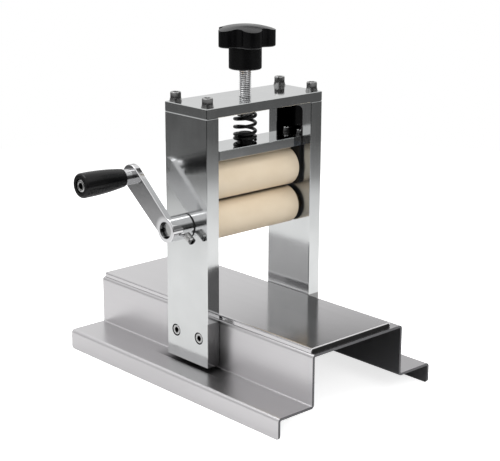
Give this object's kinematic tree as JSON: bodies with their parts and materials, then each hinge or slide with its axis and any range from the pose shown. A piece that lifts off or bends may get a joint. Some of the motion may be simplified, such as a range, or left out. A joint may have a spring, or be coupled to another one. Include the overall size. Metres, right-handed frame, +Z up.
{
  "type": "hand cranked rolling mill",
  "caption": "Hand cranked roller press: cream covered rolls in a polished flat bar frame, with a star knob and spring over them, on a folded steel base with a feed plate.",
  "frame": {"origin": "on the floor, under the middle of the frame of side plates and bridge", "axes": "+X along the rolls, away from the crank; +Y the way the work is fed, front to back; +Z up"},
  "size_m": [0.2178, 0.26, 0.2868],
  "materials": {
    "brushed_stainless": "brushed",
    "polished_stainless": "mirror polished",
    "chrome": "mirror polished",
    "screw_steel": "satin",
    "black_knob_plastic": "gloss",
    "black_spring_steel": "satin black",
    "cream_roll_rubber": "matte",
    "black_pad_rubber": "matte",
    "black_bearing_plastic": "matte",
    "bearing_bronze": "satin"
  },
  "bodies": {
    "frame": {"base_channel": "brushed_stainless", "feed_pad": "black_pad_rubber", "feed_plate": "brushed_stainless", "crank_side_plate": "polished_stainless", "far_side_plate": "polished_stainless", "top_bridge": "polished_stainless", "crank_side_bush": "bearing_bronze", "far_side_bush": "bearing_bronze", "bridge_flat_washers": "screw_steel", "bridge_spring_washers": "screw_steel", "bridge_screws": "screw_steel", "base_screws": "screw_steel", "base_washers": "screw_steel", "base_nuts": "screw_steel", "pressure_spring": "black_spring_steel"},
    "drive": {"lower_roll_shaft": "screw_steel", "lower_roll_cover": "cream_roll_rubber", "crank_arm": "chrome", "crank_clamp_screw": "screw_steel", "crank_washer": "black_pad_rubber", "grip_ferrule": "chrome", "grip_bolt": "screw_steel"},
    "grip": {"crank_grip": "black_knob_plastic"},
    "carriage": {"pressure_bar": "polished_stainless", "crank_side_bearing_block": "black_bearing_plastic", "far_side_bearing_block": "black_bearing_plastic", "bar_screws": "screw_steel", "spring_collar": "black_spring_steel"},
    "upper_roll": {"upper_roll_shaft": "screw_steel", "upper_roll_cover": "cream_roll_rubber"},
    "foot": {"swivel_foot": "screw_steel"},
    "spindle": {"pressure_spindle": "chrome", "knob_insert": "bearing_bronze", "star_knob": "black_knob_plastic"}
  },
  "joints": [
    {"name": "crank_turn", "type": "hinge", "parent": "frame", "child": "drive", "pos_m": [0, 0, 0.1334], "axis": [1, 0, 0], "continuous": true},
    {"name": "grip_spin", "type": "hinge", "parent": "drive", "child": "grip", "pos_m": [-0.11255, 0.04321, 0.16902], "axis": [1, 0, 0], "continuous": true},
    {"name": "carriage_lift", "type": "slide", "parent": "frame", "child": "carriage", "axis": [0, 0, 1], "range_m": [0, 0.0065], "stiffness_N_per_m": 29000, "springref_m": -0.002, "deforming": ["pressure_spring"]},
    {"name": "spindle_travel", "type": "slide", "parent": "frame", "child": "foot", "axis": [0, 0, 1], "range_m": [-0.006, 0.0025]},
    {"name": "spindle_turn", "type": "hinge", "parent": "foot", "child": "spindle", "pos_m": [0, 0, 0.23], "axis": [0, 0, 1], "range_deg": [-1440.5, 600.5]},
    {"name": "upper_roll_turn", "type": "hinge", "parent": "carriage", "child": "upper_roll", "pos_m": [0, 0, 0.1659], "axis": [1, 0, 0], "continuous": true}
  ],
  "couplings": [
    {"joint": "spindle_turn", "follows": "spindle_travel", "rad_per_m": 4188.8},
    {"joint": "upper_roll_turn", "follows": "crank_turn", "ratio": -1}
  ]
}
